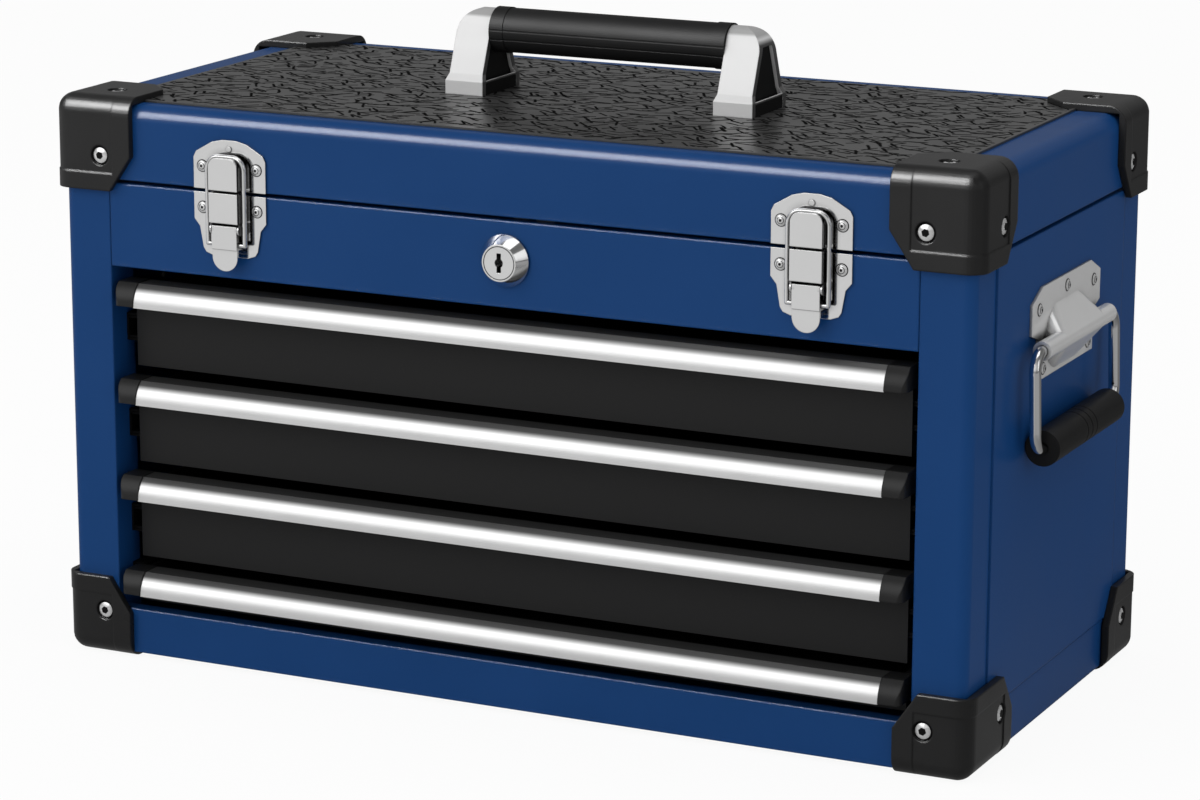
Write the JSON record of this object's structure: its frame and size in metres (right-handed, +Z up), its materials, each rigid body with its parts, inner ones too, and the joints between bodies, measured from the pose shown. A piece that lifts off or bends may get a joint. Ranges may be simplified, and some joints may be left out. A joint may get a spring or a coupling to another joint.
{
  "type": "portable tool box with drawers",
  "caption": "Portable steel tool box: hinged lid over a top tray, shallow drawers with full-width pulls, black corner guards, bright latches, a lock and carry handles.",
  "frame": {"origin": "middle of the floor area under the whole box, on the plane the corner guards stand on", "axes": "+Z up, -Y towards the drawer fronts, +X to the right seen from the front"},
  "size_m": [0.5578, 0.2678, 0.3519],
  "materials": {
    "blue_paint": "semi-gloss blue powder coat",
    "drawer_paint": "satin black powder coat",
    "slide_black": "black zinc-plated steel",
    "zinc_steel": "zinc-plated steel",
    "guard_black": "satin black moulded plastic",
    "bright_plate": "bright nickel plate",
    "black_rubber": "fine-grained black rubber",
    "pull_black": "satin black moulded plastic",
    "pull_aluminium": "anodised aluminium strip"
  },
  "bodies": {
    "cabinet": {"base_pan": "blue_paint", "front_posts": "blue_paint", "rear_posts": "blue_paint", "side_panel_left": "blue_paint", "side_panel_right": "blue_paint", "back_panel": "blue_paint", "lock_panel": "blue_paint", "top_tray": "blue_paint", "cabinet_slides": "slide_black", "bottom_guards_front": "guard_black", "bottom_guards_rear": "guard_black", "hinge_leaf_cabinet": "zinc_steel", "hinge_pin": "zinc_steel", "lock_housing": "bright_plate", "lock_nut": "zinc_steel", "latch_bases": "bright_plate", "handle_brackets": "bright_plate", "cabinet_fasteners": "bright_plate"},
    "lid": {"lid_shell": "blue_paint", "lid_mat": "black_rubber", "top_guards_front": "guard_black", "top_guards_rear": "guard_black", "handle_posts": "bright_plate", "handle_inserts": "guard_black", "carry_grip": "black_rubber", "handle_core": "zinc_steel", "hinge_leaf_lid": "zinc_steel", "latch_keepers": "bright_plate", "lid_fasteners": "bright_plate", "lid_striker": "zinc_steel"},
    "latch_lever_left": {"latch_lever_left": "bright_plate"},
    "latch_bail_left": {"latch_bail_left": "bright_plate"},
    "latch_lever_right": {"latch_lever_right": "bright_plate"},
    "latch_bail_right": {"latch_bail_right": "bright_plate"},
    "side_handle_left": {"side_bail_left": "bright_plate", "side_grip_left": "black_rubber"},
    "side_handle_right": {"side_bail_right": "bright_plate", "side_grip_right": "black_rubber"},
    "lock_cylinder": {"lock_plug": "bright_plate", "lock_cam": "zinc_steel"},
    "drawer_1": {"drawer_pan_1": "drawer_paint", "drawer_slides_1": "slide_black", "pull_channel_1": "pull_black", "pull_strip_1": "pull_aluminium", "pull_caps_1": "pull_black"},
    "drawer_2": {"drawer_pan_2": "drawer_paint", "drawer_slides_2": "slide_black", "pull_channel_2": "pull_black", "pull_strip_2": "pull_aluminium", "pull_caps_2": "pull_black"},
    "drawer_3": {"drawer_pan_3": "drawer_paint", "drawer_slides_3": "slide_black", "pull_channel_3": "pull_black", "pull_strip_3": "pull_aluminium", "pull_caps_3": "pull_black"},
    "drawer_4": {"drawer_pan_4": "drawer_paint", "drawer_slides_4": "slide_black", "pull_channel_4": "pull_black", "pull_strip_4": "pull_aluminium", "pull_caps_4": "pull_black"}
  },
  "joints": [
    {"name": "lid_hinge", "type": "hinge", "parent": "cabinet", "child": "lid", "pos_m": [0, 0.1309, 0.2636], "axis": [-1, 0, 0], "range_deg": [0, 100]},
    {"name": "latch_lever_left_hinge", "type": "hinge", "parent": "cabinet", "child": "latch_lever_left", "pos_m": [-0.156, -0.1306, 0.2447], "axis": [-1, 0, 0], "range_deg": [0, 100]},
    {"name": "latch_bail_left_hinge", "type": "hinge", "parent": "latch_lever_left", "child": "latch_bail_left", "pos_m": [-0.156, -0.1306, 0.2367], "axis": [-1, 0, 0], "range_deg": [-120, 0]},
    {"name": "latch_lever_right_hinge", "type": "hinge", "parent": "cabinet", "child": "latch_lever_right", "pos_m": [0.174, -0.1306, 0.2447], "axis": [-1, 0, 0], "range_deg": [0, 100]},
    {"name": "latch_bail_right_hinge", "type": "hinge", "parent": "latch_lever_right", "child": "latch_bail_right", "pos_m": [0.174, -0.1306, 0.2367], "axis": [-1, 0, 0], "range_deg": [-120, 0]},
    {"name": "side_handle_left_hinge", "type": "hinge", "parent": "cabinet", "child": "side_handle_left", "pos_m": [-0.268, 0.0001, 0.206], "axis": [0, 1, 0], "range_deg": [0, 95]},
    {"name": "side_handle_right_hinge", "type": "hinge", "parent": "cabinet", "child": "side_handle_right", "pos_m": [0.268, 0.0001, 0.206], "axis": [0, -1, 0], "range_deg": [0, 95]},
    {"name": "lock_turn", "type": "hinge", "parent": "cabinet", "child": "lock_cylinder", "pos_m": [0.0055, -0.1254, 0.242], "axis": [0, 1, 0], "range_deg": [0, 90]},
    {"name": "drawer_1_slide", "type": "slide", "parent": "cabinet", "child": "drawer_1", "axis": [0, -1, 0], "range_m": [0, 0.16]},
    {"name": "drawer_2_slide", "type": "slide", "parent": "cabinet", "child": "drawer_2", "axis": [0, -1, 0], "range_m": [0, 0.16]},
    {"name": "drawer_3_slide", "type": "slide", "parent": "cabinet", "child": "drawer_3", "axis": [0, -1, 0], "range_m": [0, 0.16]},
    {"name": "drawer_4_slide", "type": "slide", "parent": "cabinet", "child": "drawer_4", "axis": [0, -1, 0], "range_m": [0, 0.16]}
  ],
  "couplings": [
    {"joint": "latch_bail_left_hinge", "follows": "latch_lever_left_hinge", "ratio": -1.2},
    {"joint": "latch_bail_right_hinge", "follows": "latch_lever_right_hinge", "ratio": -1.2}
  ]
}
